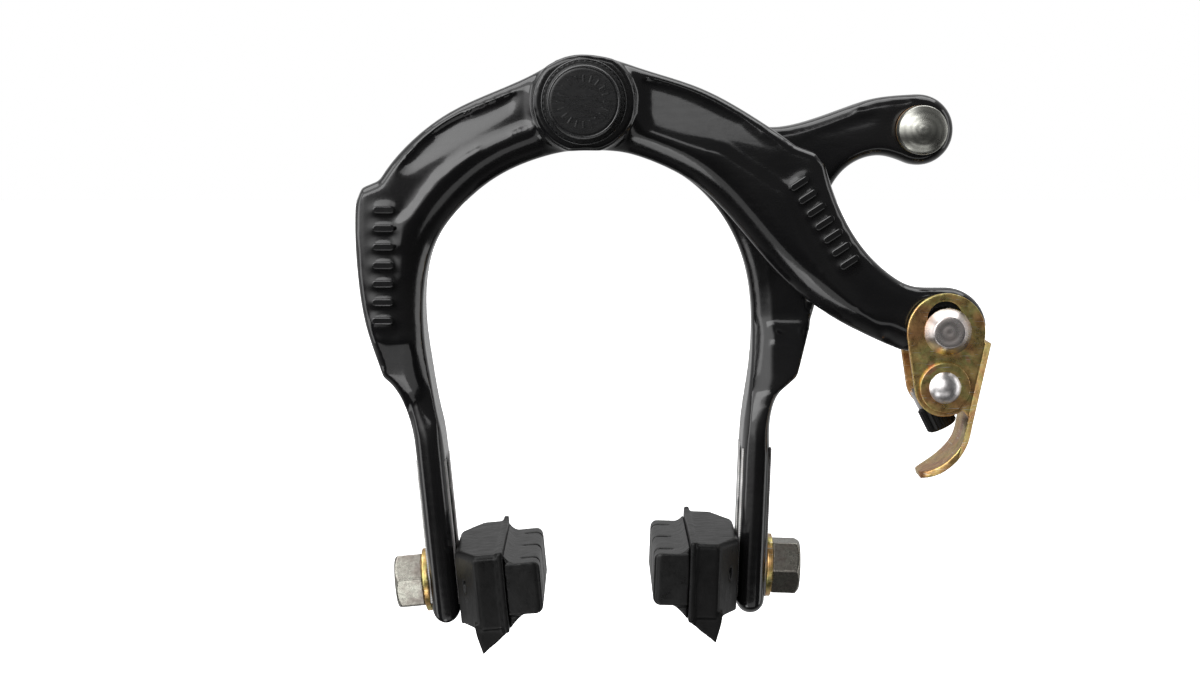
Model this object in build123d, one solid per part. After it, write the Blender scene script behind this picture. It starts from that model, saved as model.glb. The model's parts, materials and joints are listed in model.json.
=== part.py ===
from build123d import *
import math
import os

# Long-reach side-pull rim brake caliper, rest pose with both arms fully open.
# X points right and Z points up as seen by someone facing the brake, who stands on the -Y side.
# The origin is on the centre bolt's axis, at the face that seats against the fork or frame bridge.
# Lengths are millimetres, angles are degrees. Profiles are drawn in X and Z and run along Y.

os.makedirs("parts", exist_ok=True)

# ---------------------------------------------------------------- pivot stack, from the seat forwards
GAP = 0.1
SEAT_WASHER_T = 1.2
SPRING_BLOCK_T = 9.8
FRICTION_T = 0.7
REAR_ARM_T = 8.5
FRONT_ARM_T = 8.7
BOSS_RISE = 1.2
Y_BLOCK_BACK = -SEAT_WASHER_T
Y_BLOCK_FRONT = Y_BLOCK_BACK - SPRING_BLOCK_T
Y_REAR_BACK = Y_BLOCK_FRONT - FRICTION_T - 2 * GAP
Y_REAR_FRONT = Y_REAR_BACK - REAR_ARM_T
Y_FRONT_BACK = Y_REAR_FRONT - FRICTION_T - 2 * GAP
Y_FRONT = Y_FRONT_BACK - FRONT_ARM_T
Y_BOSS = Y_FRONT - BOSS_RISE

BOLT_R = 3.0
BOLT_NECK_R = 2.95
BOLT_TAIL = 30.0
RELIEF_R = 2.65
RELIEF_END = -1.1
ARM_BORE_R = 3.05
WASHER_BORE_R = 3.1
FRICTION_R = 7.4
M6_FLATS = 10.0
CAP_R = 6.9
CAP_FLANGE_R = 8.0
CAP_FLANGE_T = 1.3
CAP_BEADS = 44
CAP_BEAD_R = 0.34
CAP_DEPTH = 6.8
CAP_BORE_R = 6.0
THIN_NUT_T = 2.4

# ---------------------------------------------------------------- arms
BOSS_R = 9.8
BEVEL_DEEP = 3.2
BEVEL_WIDE = 4.8
BEVEL_STEP_DEEP = 1.2
BEVEL_STEP_WIDE = 2.0
EDGE_EASE = 1.1
EDGE_STEP = 0.4
BEVEL_FADE = 30.0
PANEL_LIP = 0.45
PANEL_CUT = 4.0
BELOW_ARMS = -104.0
ABOVE_ARMS = 12.0
THROUGH = 50.0
FAR = 120.0
Y_LEG_FRONT = -27.0
Y_LEG_BACK = Y_REAR_BACK
LEG_LEFT_T = 5.6
LEG_RIGHT_T = 5.6
LEG_LEFT_TILT = 5.5
LEG_RIGHT_TILT = 2.0
LEG_TOP_Z = -72.0
LEG_LEFT_END_Z = -98.5
LEG_RIGHT_END_Z = -97.1
LEG_LEFT_X = -29.6
LEG_RIGHT_X = 33.4
SLOT_W = 6.2
SLOT_LEFT = (-69.8, -98.0)
SLOT_RIGHT = (-67.6, -96.4)

# ---------------------------------------------------------------- brake shoes
STUD_Y = -19.5
STUD_LEFT_Z = -93.7
STUD_RIGHT_Z = -91.0
STUD_R = 3.0
SHOE_HALF = 18.4
SHOE_BACK_HALF = 10.5
HOLDER_H = 14.2
HOLDER_START = 0.25
HOLDER_SHOULDER = 4.3
HOLDER_END = 8.8
FLANGE_T = 1.1
FLANGE_TOP = 7.5
FLANGE_LOW = 8.0
BLOCK_H = 10.0
BLOCK_END = 16.7
GROOVE_W = 0.9
GROOVE_DEEP = 1.1
GROOVES = (-12.5, 0.0, 12.5)
FIN_FADE = 0.35
PAD_FOOT = 3.0
FOOT_TOP_DROP = 1.9
FOOT_TOP_SAG = 0.29
FOOT_LOW_DROP = 2.8
FOOT_LOW_SAG = 0.45
LIP_RISE = 0.4
LIP_RUN = 6.0
SHOE_WASHER_R = 6.2
SHOE_NUT_L = 5.5

# ---------------------------------------------------------------- quick release and cable adjuster
PIN_X = 69.4
PIN_Z = -43.6
END_BOSS_R = 8.1
END_BOSS_LOW_R = 6.4
END_T = 4.7
PIN_R = 2.5
PLATE_T = 1.3
PLATE_TOP_R = 7.5
PLATE_LOW_R = 5.7
RIVET_X = 68.9
RIVET_Z = -54.3
Y_PLATE_FRONT = Y_FRONT - 0.2 - PLATE_T
Y_REAR_PLATE_FRONT = -19.4
ADJUST_TILT = 27.0
BARREL_OFFSET = -3.0
BARREL_R = 2.2
BARREL_Y = -22.6
WIRE_R = 1.0
KNOB_R = 3.05
KNOB_RIBS = 20

# ---------------------------------------------------------------- cable anchor on the rear arm
ANCHOR_X = 65.1
ANCHOR_Z = -5.4
ANCHOR_BOSS_R = 6.9
ANCHOR_BOSS_T = 6.4
ANCHOR_R = 2.5
ANCHOR_HEAD_R = 4.75

# ---------------------------------------------------------------- return spring
WIRE_SPRING_R = 1.1
SPRING_Y = -6.0
SPRING_Z = -6.2
PEG_LEFT = (-39.4, -44.0)
PEG_RIGHT = (40.8, -44.0)
PEG_R = 2.0
SLEEVE_T = 0.7
PEG_STANDOFF = 4.1
Y_PEG_END = SPRING_Y + 2.6
Y_PEG_ROOT = -17.0


def at_depth(y):
    """Drawing plane at depth y that faces the viewer: local x is +X and local y is +Z."""
    return Plane.XZ.offset(-y)


def slab(face, y_back, y_front):
    """Solid from a profile in X and Z, running forwards from y_back to y_front."""
    return extrude(at_depth(y_back) * face, amount=y_back - y_front)


def disc(x, z, radius, y_back, y_front):
    return slab(Pos(x, z) * Circle(radius), y_back, y_front)


def ring(x, z, outer, inner, y_back, y_front):
    return slab(Pos(x, z) * (Circle(outer) - Circle(inner)), y_back, y_front)


def hex_nut(x, z, flats, bore, y_back, y_front):
    corner = flats / 2 / math.cos(math.radians(30))
    nut = slab(Pos(x, z) * (RegularPolygon(corner, 6) - Circle(bore)), y_back, y_front)
    middle = (y_back + y_front) / 2
    height = y_back - y_front
    rounding = Pos(x, middle, z) * Rot(90, 0, 0) * Cylinder(corner, height)
    return nut & chamfer(rounding.edges(), 0.45, 0.8)


def shifted(points, insets):
    """Moves each point of a clockwise closed outline inwards by its own inset."""
    moved = []
    count = len(points)
    for i in range(count):
        (ax, az), (bx, bz), (cx, cz) = points[i - 1], points[i], points[(i + 1) % count]
        before = Vector(bx - ax, bz - az).normalized()
        after = Vector(cx - bx, cz - bz).normalized()
        along = (before + after).normalized()
        reach = insets[i] / max(0.75, along.dot(after))
        moved.append((bx + along.Y * reach, bz - along.X * reach))
    return moved


def outline_face(segments, inner_inset, outer_inset):
    """Closed clockwise face. Each segment is (kind, points, on_inner_side, end tangents)."""
    points = []
    insets = []
    for kind, stops, inner, tangents in segments:
        for stop in stops[:-1]:
            fade = min(1.0, (stop[1] - LEG_TOP_Z) / BEVEL_FADE)
            points.append(stop)
            insets.append(max(inner_inset * fade, outer_inset) if inner else outer_inset)
    for i in range(len(segments)):
        start = sum(len(s[1]) - 1 for s in segments[:i])
        insets[start] = min(insets[start], insets[start - 1])
    moved = shifted(points, insets)
    edges = []
    start = 0
    for kind, stops, inner, tangents in segments:
        run = [moved[(start + i) % len(moved)] for i in range(len(stops))]
        if kind == "line":
            edges.append(Line(run[0], run[1]))
        elif kind == "arc":
            edges.append(ThreePointArc(*run))
        else:
            edges.append(Spline(*run, tangents=tangents))
        start += len(stops) - 1
    return make_face(edges)


def bevelled(segments, y_back, y_front):
    """Arm blank whose front edge is bevelled in two steps: widely on the inner side, lightly on the outer."""
    y_bevel = y_front + BEVEL_DEEP
    blank = slab(outline_face(segments, 0, 0), y_back, y_bevel)
    low = at_depth(y_bevel) * outline_face(segments, 0, 0)
    middle = at_depth(y_front + BEVEL_STEP_DEEP) * outline_face(segments, BEVEL_STEP_WIDE, EDGE_STEP)
    high = at_depth(y_front) * outline_face(segments, BEVEL_WIDE, EDGE_EASE)
    return blank + loft([low, middle, high], ruled=True)


def panel_face(outer, inner):
    """Outline of a recess between a curve along the arm's outer edge and one along its inner side."""
    return make_face([Spline(*outer), Line(outer[-1], inner[0]), Spline(*inner), Line(inner[-1], outer[0])])


def sloped_panel(face, hinge, turn, slope, y_face):
    """Cutter for a recess whose floor slopes back towards the outer edge, from a line through hinge."""
    front_space = Pos(0, -FAR / 2, 0) * Box(FAR, FAR, FAR)
    tilted = Pos(hinge[0], y_face + PANEL_LIP, hinge[1]) * Rot(0, -turn, 0) * Rot(-slope, 0, 0) * front_space
    return slab(face, y_face + PANEL_CUT, y_face - 1) & tilted


def bar(x, z, turn, length, width, y_back, y_front):
    """Raised decorative bar with round ends."""
    return slab(Pos(x, z) * Rot(0, 0, turn) * SlotOverall(length, width), y_back, y_front)


def leg_x(top_x, tilt, z, side):
    """X of a leg's centre line at height z. Side is -1 for the left leg and 1 for the right."""
    return top_x - side * (LEG_TOP_Z - z) * math.tan(math.radians(tilt))


def leg_edge(top_x, tilt, thick, z, side, outwards):
    half = thick / 2 / math.cos(math.radians(tilt))
    return (leg_x(top_x, tilt, z, side) + side * outwards * half, z)


def shoe_frame(side):
    """Frame on a leg's centre line at the stud: local X points at the rim, local Z runs up the leg."""
    if side < 0:
        x = leg_x(LEG_LEFT_X, LEG_LEFT_TILT, STUD_LEFT_Z, side)
        return Pos(x, STUD_Y, STUD_LEFT_Z) * Rot(0, -LEG_LEFT_TILT, 0)
    x = leg_x(LEG_RIGHT_X, LEG_RIGHT_TILT, STUD_RIGHT_Z, side)
    return Pos(x, STUD_Y, STUD_RIGHT_Z) * Rot(0, LEG_RIGHT_TILT, 0)


def on_leg(side, solid):
    """Places a solid modelled for the left shoe on its leg, mirrored for the right."""
    if side > 0:
        solid = mirror(solid, about=Plane.YZ)
    return shoe_frame(side) * solid


def stud_slot(side, stud_z, tilt, slot):
    """Cutter for the stud slot through a leg, in the shoe's frame."""
    rise = math.cos(math.radians(tilt))
    top = (slot[0] - stud_z) / rise
    end = (slot[1] - stud_z) / rise
    sketch = Pos(0, (top + end) / 2) * Rot(0, 0, 90) * SlotOverall(top - end, SLOT_W)
    return on_leg(side, extrude(Plane.YZ * sketch, amount=LEG_RIGHT_T, both=True))


# ================================================================ front arm: left leg, arch, right limb
left_out_top = leg_edge(LEG_LEFT_X, LEG_LEFT_TILT, LEG_LEFT_T, LEG_TOP_Z, -1, 1)
left_out_end = leg_edge(LEG_LEFT_X, LEG_LEFT_TILT, LEG_LEFT_T, LEG_LEFT_END_Z, -1, 1)
left_in_top = leg_edge(LEG_LEFT_X, LEG_LEFT_TILT, LEG_LEFT_T, LEG_TOP_Z, -1, -1)
left_in_end = leg_edge(LEG_LEFT_X, LEG_LEFT_TILT, LEG_LEFT_T, LEG_LEFT_END_Z, -1, -1)
left_down = (math.sin(math.radians(LEG_LEFT_TILT)), -math.cos(math.radians(LEG_LEFT_TILT)))
left_up = (-left_down[0], -left_down[1])
left_tip = ((left_out_end[0] + left_in_end[0]) / 2 + 0.2, LEG_LEFT_END_Z - LEG_LEFT_T / 2)
boss_top = (PIN_X, PIN_Z + END_BOSS_R)
boss_right = (PIN_X + END_BOSS_R, PIN_Z)
boss_step = (PIN_X + END_BOSS_LOW_R, PIN_Z)
boss_low = (PIN_X - 4.6, PIN_Z - 4.45)
boss_diagonal = END_BOSS_R * math.sqrt(0.5)

FRONT_ARM = [
    ("spline", [(0, 8.9), (10.6, 6.4), (22, 2.7), (31.5, -2.3), (40.6, -8.3)], False,
     [(1, -0.02), (1, -0.7)]),
    ("line", [(40.6, -8.3), (44.4, -9.6)], False, None),
    ("line", [(44.4, -9.6), (46.2, -11.8)], False, None),
    ("spline", [(46.2, -11.8), (50.3, -22.9), (56.4, -31.0), (62.0, -34.9), boss_top], False,
     [(0.22, -1), (1, 0)]),
    ("arc", [boss_top, (PIN_X + boss_diagonal, PIN_Z + boss_diagonal), boss_right], False, None),
    ("line", [boss_right, boss_step], False, None),
    ("arc", [boss_step, (PIN_X + 1.2, PIN_Z - END_BOSS_LOW_R + 0.11), boss_low], False, None),
    ("line", [boss_low, (61.2, -47.9)], False, None),
    ("spline", [(61.2, -47.9), (50.9, -43.0), (39.3, -34.8), (29.7, -23.9), (20.1, -14.8), (10.6, -10.4),
                (0, -9.2)], True, [(-1, 0.5), (-1, 0)]),
    ("spline", [(0, -9.2), (-8.3, -10.6), (-15.9, -13.8), (-23.6, -19.9), (-28.4, -26.4), (-30.6, -34.0),
                (-31.0, -42.0), (-30.3, -50.0), (-28.6, -60.0), left_in_top], True, [(-1, 0), left_down]),
    ("line", [left_in_top, left_in_end], False, None),
    ("arc", [left_in_end, left_tip, left_out_end], False, None),
    ("line", [left_out_end, left_out_top], False, None),
    ("spline", [left_out_top, (-33.1, -65.5), (-34.9, -58.6), (-38.8, -53.0)], False, [left_up, (-1, 0.7)]),
    ("spline", [(-38.8, -53.0), (-41.9, -43.4), (-43.6, -32.0), (-43.8, -19.4)], False,
     [(-0.3, 1), (0.06, 1)]),
    ("line", [(-43.8, -19.4), (-42.6, -16.4)], False, None),
    ("line", [(-42.6, -16.4), (-39.2, -15.0)], False, None),
    ("spline", [(-39.2, -15.0), (-32.7, -7.2), (-26.0, -2.2), (-14.8, 2.9), (-8.3, 6.0), (0, 8.9)], False,
     [(0.6, 1), (1, -0.02)]),
]

front_arm = bevelled(FRONT_ARM, Y_LEG_BACK, Y_FRONT)

# side view of the left half: the leg's front lies further back than the arch's, and its back too
FACE_DROP_Z = (-46.0, -58.0)
BACK_REACH_Z = (-24.0, -50.0)
MIDDLE_X = -14.0
left_side = Polyline((Y_FRONT, ABOVE_ARMS), (Y_FRONT, FACE_DROP_Z[0]), (Y_LEG_FRONT, FACE_DROP_Z[1]),
                     (Y_LEG_FRONT, BELOW_ARMS), (Y_LEG_BACK, BELOW_ARMS), (Y_LEG_BACK, BACK_REACH_Z[1]),
                     (Y_FRONT_BACK, BACK_REACH_Z[0]), (Y_FRONT_BACK, ABOVE_ARMS), close=True)
left_envelope = extrude(Plane.YZ.offset(MIDDLE_X - FAR) * make_face(left_side), amount=FAR)

# top view of the right half: the limb thins down to the quick release
Y_END_BACK = Y_FRONT + END_T
LIMB_THINS_X = (54.0, 60.0)
top_view = Polyline((MIDDLE_X, Y_FRONT), (FAR, Y_FRONT), (FAR, Y_END_BACK), (LIMB_THINS_X[1], Y_END_BACK),
                    (LIMB_THINS_X[0], Y_FRONT_BACK), (MIDDLE_X, Y_FRONT_BACK), close=True)
right_envelope = extrude(Plane.XY.offset(-FAR) * make_face(top_view), amount=2 * FAR)
front_arm = front_arm & (left_envelope + right_envelope)

boss = disc(0, 0, BOSS_R, Y_FRONT_BACK, Y_BOSS) & slab(outline_face(FRONT_ARM, 0, 0), Y_FRONT_BACK, Y_BOSS)
front_arm = front_arm + boss
left_panel = panel_face([(-36.0, -13.6), (-32.0, -8.6), (-26.0, -3.8), (-20.5, -1.2), (-12.4, 2.2)],
                        [(-12.9, -4.4), (-15.0, -6.2), (-21.3, -8.6), (-30.5, -14.2)])
right_panel = panel_face([(10.9, 4.6), (15.0, 3.7), (22.0, 1.3), (30.6, -3.3), (38.4, -8.6)],
                         [(34.0, -10.3), (28.5, -9.3), (20.1, -7.9), (11.4, -5.2)])
LEFT_FLOOR_SLOPE = 12.0
RIGHT_FLOOR_SLOPE = 7.0
front_arm -= sloped_panel(left_panel, (-21.3, -8.6), 31, LEFT_FLOOR_SLOPE, Y_FRONT)
front_arm -= sloped_panel(right_panel, (20.1, -7.9), -14, RIGHT_FLOOR_SLOPE, Y_FRONT)
BAR_L = 4.2
BAR_W = 1.4
BAR_RISE = 0.5
BARS = 7
BAR_ROWS = (((-38.1, -20.4), (-38.5, -41.6), 0), ((41.0, -15.4), (50.6, -30.4), 33))
for first, last, turn in BAR_ROWS:
    for i in range(BARS):
        step = i / (BARS - 1)
        bar_x = first[0] + (last[0] - first[0]) * step
        bar_z = first[1] + (last[1] - first[1]) * step
        front_arm += bar(bar_x, bar_z, turn, BAR_L, BAR_W, Y_FRONT + BAR_RISE, Y_FRONT - BAR_RISE)
front_arm -= disc(0, 0, ARM_BORE_R, 0, -THROUGH)
front_arm -= disc(PIN_X, PIN_Z, PIN_R + 0.02, 0, -THROUGH)
front_arm -= stud_slot(-1, STUD_LEFT_Z, LEG_LEFT_TILT, SLOT_LEFT)
front_arm += disc(PEG_LEFT[0], PEG_LEFT[1], PEG_R, Y_PEG_END, Y_PEG_ROOT)
export_step(front_arm, "parts/front_arm.step")

# ================================================================ rear arm: right leg, arch, cable arm
right_out_top = leg_edge(LEG_RIGHT_X, LEG_RIGHT_TILT, LEG_RIGHT_T, LEG_TOP_Z, 1, 1)
right_out_end = leg_edge(LEG_RIGHT_X, LEG_RIGHT_TILT, LEG_RIGHT_T, LEG_RIGHT_END_Z, 1, 1)
right_in_top = leg_edge(LEG_RIGHT_X, LEG_RIGHT_TILT, LEG_RIGHT_T, LEG_TOP_Z, 1, -1)
right_in_end = leg_edge(LEG_RIGHT_X, LEG_RIGHT_TILT, LEG_RIGHT_T, LEG_RIGHT_END_Z, 1, -1)
right_down = (-math.sin(math.radians(LEG_RIGHT_TILT)), -math.cos(math.radians(LEG_RIGHT_TILT)))
right_up = (-right_down[0], -right_down[1])
right_tip = ((right_out_end[0] + right_in_end[0]) / 2, LEG_RIGHT_END_Z - LEG_RIGHT_T / 2)
anchor_top = (ANCHOR_X, ANCHOR_Z + ANCHOR_BOSS_R)
anchor_right = (ANCHOR_X + ANCHOR_BOSS_R, ANCHOR_Z)
anchor_low = (ANCHOR_X - 3.4, ANCHOR_Z - 6.0)

REAR_ARM = [
    ("spline", [(0, 8.6), (9.0, 6.6), (20.0, 2.0), (30.0, -2.6), (36.0, -4.9)], False, [(1, 0), (1, -0.25)]),
    ("spline", [(36.0, -4.9), (40.5, -4.5), (46.4, -2.8), (53.6, -0.2), anchor_top], False,
     [(1, -0.1), (1, 0.05)]),
    ("arc", [anchor_top, anchor_right, anchor_low], False, None),
    ("spline", [anchor_low, (57.6, -10.4), (53.5, -11.3), (49.6, -14.4), (46.6, -21.0), (45.4, -29.0),
                (44.4, -40.0), (41.4, -53.2)], False, [(-1, 0.35), (-0.3, -1)]),
    ("line", [(41.4, -53.2), (38.0, -56.2)], False, None),
    ("spline", [(38.0, -56.2), (36.3, -61.0), right_out_top], False, [(-0.6, -0.8), right_down]),
    ("line", [right_out_top, right_out_end], False, None),
    ("arc", [right_out_end, right_tip, right_in_end], False, None),
    ("line", [right_in_end, right_in_top], False, None),
    ("spline", [right_in_top, (31.1, -62.0), (32.4, -53.0), (33.0, -43.0), (31.8, -32.6), (27.4, -22.6),
                (18.0, -13.6), (9.0, -9.9), (0, -9.0)], True, [right_up, (-1, 0.05)]),
    ("spline", [(0, -9.0), (-6.4, -6.2), (-9.0, 0), (-6.4, 6.2), (0, 8.6)], False, [(-1, 0), (1, 0)]),
]

# the arch is shallower than the leg, so the leg's blank is cut to a slope that meets the arch's front face
SLOPE_TOP_Z = -43.0
SLOPE_END_Z = -56.0
arch_blank = bevelled(REAR_ARM, Y_LEG_BACK, Y_REAR_FRONT)
leg_blank = bevelled(REAR_ARM, Y_LEG_BACK, Y_LEG_FRONT)
leg_side = Polyline((Y_REAR_FRONT, SLOPE_TOP_Z), (Y_LEG_FRONT, SLOPE_END_Z), (Y_LEG_FRONT, BELOW_ARMS),
                    (Y_LEG_BACK, BELOW_ARMS), (Y_LEG_BACK, SLOPE_TOP_Z), close=True)
leg_space = extrude(Plane.YZ * make_face(leg_side), amount=FAR)
rear_arm = arch_blank + (leg_blank & leg_space)

# the cable arm is thinner than the arch, and thins down from its back face
THIN_X = ANCHOR_X - 12
THIN_RUN = 5.0
CABLE_ARM_LOW_Z = -20.0
y_thin_back = Y_REAR_FRONT + ANCHOR_BOSS_T
behind = Polyline((THIN_X, 0), (THIN_X, Y_LEG_BACK), (THIN_X + THIN_RUN, y_thin_back), (FAR, y_thin_back),
                  (FAR, 0), close=True)
rear_arm -= extrude(Plane.XY.offset(CABLE_ARM_LOW_Z) * make_face(behind), amount=FAR)
cable_panel = panel_face([(41.0, -6.9), (46.8, -5.0), (53.4, -2.4), (57.6, -1.9)],
                         [(56.8, -8.4), (54.2, -8.3), (50.1, -8.9), (43.5, -11.6)])
CABLE_FLOOR_SLOPE = 6.0
rear_arm -= sloped_panel(cable_panel, (50.1, -8.9), 12, CABLE_FLOOR_SLOPE, Y_REAR_FRONT)
rear_arm -= disc(0, 0, ARM_BORE_R, 0, -THROUGH)
rear_arm -= disc(ANCHOR_X, ANCHOR_Z, ANCHOR_R + 0.06, 0, -THROUGH)
rear_arm -= stud_slot(1, STUD_RIGHT_Z, LEG_RIGHT_TILT, SLOT_RIGHT)
rear_arm += disc(PEG_RIGHT[0], PEG_RIGHT[1], PEG_R, Y_PEG_END, Y_PEG_ROOT)
export_step(rear_arm, "parts/rear_arm.step")

# ================================================================ centre bolt and pivot stack
Y_FLANGE_BACK = Y_BOSS - FRICTION_T - 2 * GAP
Y_NUT_BACK = Y_FLANGE_BACK - 0.3
y_bolt_end = Y_NUT_BACK - THIN_NUT_T - 0.9
bolt_tail = disc(0, 0, BOLT_R, BOLT_TAIL, 0)
bolt_neck = disc(0, 0, BOLT_NECK_R, RELIEF_END, y_bolt_end)
BOLT_CHAMFER = 0.5
centre_bolt = chamfer(bolt_tail.edges().sort_by(Axis.Y)[-1], BOLT_CHAMFER)
centre_bolt += disc(0, 0, RELIEF_R, 0, RELIEF_END)
centre_bolt += chamfer(bolt_neck.edges().sort_by(Axis.Y)[0], BOLT_CHAMFER)
collar_r = BOLT_R + 1.4
y_collar_back = Y_BLOCK_BACK - 2.0
y_collar_front = Y_BLOCK_BACK - 6.0
centre_bolt += slab(RegularPolygon(collar_r, 6), y_collar_back, y_collar_front)
export_step(centre_bolt, "parts/centre_bolt.step")

SEAT_TEETH = 16
SEAT_R = 7.6
seat_washer = ring(0, 0, SEAT_R, WASHER_BORE_R, 0, Y_BLOCK_BACK + GAP)
tooth = Pos(SEAT_R, -0.3, 0) * Box(1.0, 0.7, 0.9)
for i in range(SEAT_TEETH):
    seat_washer -= Rot(0, 360 / SEAT_TEETH * i, 0) * tooth
export_step(seat_washer, "parts/seat_washer.step")

BLOCK_R = 7.0
BLOCK_FOOT_H = 10.0
BLOCK_FOOT_Z = -3.6
block_profile = Circle(BLOCK_R) + Pos(0, BLOCK_FOOT_Z) * RectangleRounded(2 * BLOCK_R, BLOCK_FOOT_H, 1.5)
spring_block = slab(block_profile, Y_BLOCK_BACK, Y_BLOCK_FRONT)
spring_block -= disc(0, 0, BOLT_R + 0.05, THROUGH, -THROUGH)
spring_block -= slab(RegularPolygon(collar_r + 0.1, 6), THROUGH, y_collar_front - 0.1)
spring_block -= Pos(0, SPRING_Y, SPRING_Z) * Rot(0, 90, 0) * Cylinder(WIRE_SPRING_R + 0.1, THROUGH)
export_step(spring_block, "parts/spring_block.step")

rear_friction = ring(0, 0, FRICTION_R, WASHER_BORE_R, Y_BLOCK_FRONT - GAP, Y_REAR_BACK + GAP)
export_step(rear_friction, "parts/rear_friction_washer.step")
mid_friction = ring(0, 0, FRICTION_R, WASHER_BORE_R, Y_REAR_FRONT - GAP, Y_FRONT_BACK + GAP)
export_step(mid_friction, "parts/middle_friction_washer.step")
front_friction = ring(0, 0, FRICTION_R, WASHER_BORE_R, Y_BOSS - GAP, Y_BOSS - GAP - FRICTION_T)
export_step(front_friction, "parts/front_friction_washer.step")

adjust_nut = hex_nut(0, 0, M6_FLATS, BOLT_NECK_R + 0.02, Y_NUT_BACK, Y_NUT_BACK - THIN_NUT_T)
export_step(adjust_nut, "parts/adjusting_nut.step")

y_cap_face = Y_FLANGE_BACK - CAP_DEPTH
cap = disc(0, 0, CAP_R, Y_FLANGE_BACK, y_cap_face)
CAP_ROUND = 0.9
CAP_FACE_T = 1.8
cap = fillet(cap.edges().sort_by(Axis.Y)[0], CAP_ROUND)
cap += disc(0, 0, CAP_FLANGE_R, Y_FLANGE_BACK, Y_FLANGE_BACK - CAP_FLANGE_T)
bead = disc(CAP_FLANGE_R, 0, CAP_BEAD_R, Y_FLANGE_BACK - 0.1, Y_FLANGE_BACK - CAP_FLANGE_T + 0.1)
for i in range(CAP_BEADS):
    cap -= Rot(0, 360 / CAP_BEADS * i, 0) * bead
cap -= disc(0, 0, CAP_BORE_R, Y_FLANGE_BACK + 1, y_cap_face + CAP_FACE_T)
export_step(cap, "parts/bolt_cap.step")

# ================================================================ return spring: one wire through the block
SPRING_EXIT = 7.4


def spring_leg(side, peg):
    """Centre line of one spring leg, from the block out behind the arm and down to its peg."""
    reach = abs(peg[0]) - PEG_STANDOFF
    stops = [(SPRING_EXIT, SPRING_Z), (15.0, -7.4), (27.0, -13.6), (reach - 1.3, -25.0),
             (reach, peg[1] - 3.0)]
    points = [(side * x, SPRING_Y, z) for x, z in stops]
    return Spline(*points, tangents=[(side, 0, 0), (side * 0.03, 0, -1)])


left_leg = spring_leg(-1, PEG_LEFT)
right_leg = spring_leg(1, PEG_RIGHT)
spring = Pos(0, SPRING_Y, SPRING_Z) * Rot(0, 90, 0) * Cylinder(WIRE_SPRING_R, 2 * SPRING_EXIT)
for leg in (left_leg, right_leg):
    spring += sweep(Plane(leg @ 0, z_dir=leg % 0) * Circle(WIRE_SPRING_R), path=leg)
export_step(spring, "parts/return_spring.step")

for name, peg in (("left_peg_sleeve", PEG_LEFT), ("right_peg_sleeve", PEG_RIGHT)):
    sleeve = ring(peg[0], peg[1], PEG_R + SLEEVE_T, PEG_R + 0.03, Y_PEG_END - 0.2, Y_LEG_BACK + 0.2)
    export_step(sleeve, "parts/" + name + ".step")

# ================================================================ cable anchor
PINCH_T = 0.9
y_pinch_front = Y_REAR_FRONT - GAP - PINCH_T
anchor_washer = ring(ANCHOR_X, ANCHOR_Z, ANCHOR_HEAD_R, ANCHOR_R + 0.1, Y_REAR_FRONT - GAP, y_pinch_front)
export_step(anchor_washer, "parts/anchor_washer.step")

HEAD_T = 3.4
DOME_RISE = 1.3
ANCHOR_FLATS = 8.0
ANCHOR_NUT_T = 4.3
ANCHOR_TIP = 0.8
y_head_back = y_pinch_front - GAP
y_head_front = y_head_back - HEAD_T
y_anchor_back = y_thin_back + GAP + ANCHOR_NUT_T
anchor_bolt = disc(ANCHOR_X, ANCHOR_Z, ANCHOR_HEAD_R, y_head_back, y_head_front)
dome_r = (ANCHOR_HEAD_R ** 2 + DOME_RISE ** 2) / (2 * DOME_RISE)
dome = Pos(ANCHOR_X, y_head_front + dome_r - DOME_RISE, ANCHOR_Z) * Sphere(dome_r)
anchor_bolt += dome & disc(ANCHOR_X, ANCHOR_Z, ANCHOR_HEAD_R, y_head_back, y_head_front - DOME_RISE)
anchor_bolt += disc(ANCHOR_X, ANCHOR_Z, ANCHOR_R, y_anchor_back + ANCHOR_TIP, y_head_back)
anchor_bolt -= Pos(ANCHOR_X, BARREL_Y, ANCHOR_Z) * Cylinder(WIRE_R, 4 * ANCHOR_HEAD_R)
export_step(anchor_bolt, "parts/cable_anchor_bolt.step")
anchor_nut = hex_nut(ANCHOR_X, ANCHOR_Z, ANCHOR_FLATS, ANCHOR_R + 0.02, y_anchor_back, y_thin_back + GAP)
export_step(anchor_nut, "parts/anchor_nut.step")

# ================================================================ quick release
HEAD_R = 4.6
HEAD_TOP_R = 2.95
HEAD_RISE = 2.2
y_pin_head = Y_PLATE_FRONT - GAP
cone = Plane.XZ.offset(-y_pin_head) * Pos(PIN_X, PIN_Z) * Circle(HEAD_R)
cone_top = Plane.XZ.offset(HEAD_RISE - y_pin_head) * Pos(PIN_X, PIN_Z) * Circle(HEAD_TOP_R)
qr_pin = loft([cone, cone_top])
qr_pin += disc(PIN_X, PIN_Z, PIN_R, Y_END_BACK + 0.05, y_pin_head)
PIN_CLIP_T = 0.85
qr_pin += disc(PIN_X, PIN_Z, PIN_R + 1.1, Y_END_BACK + 0.05 + PIN_CLIP_T, Y_END_BACK + 0.05)
export_step(qr_pin, "parts/qr_pin.step")

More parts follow.
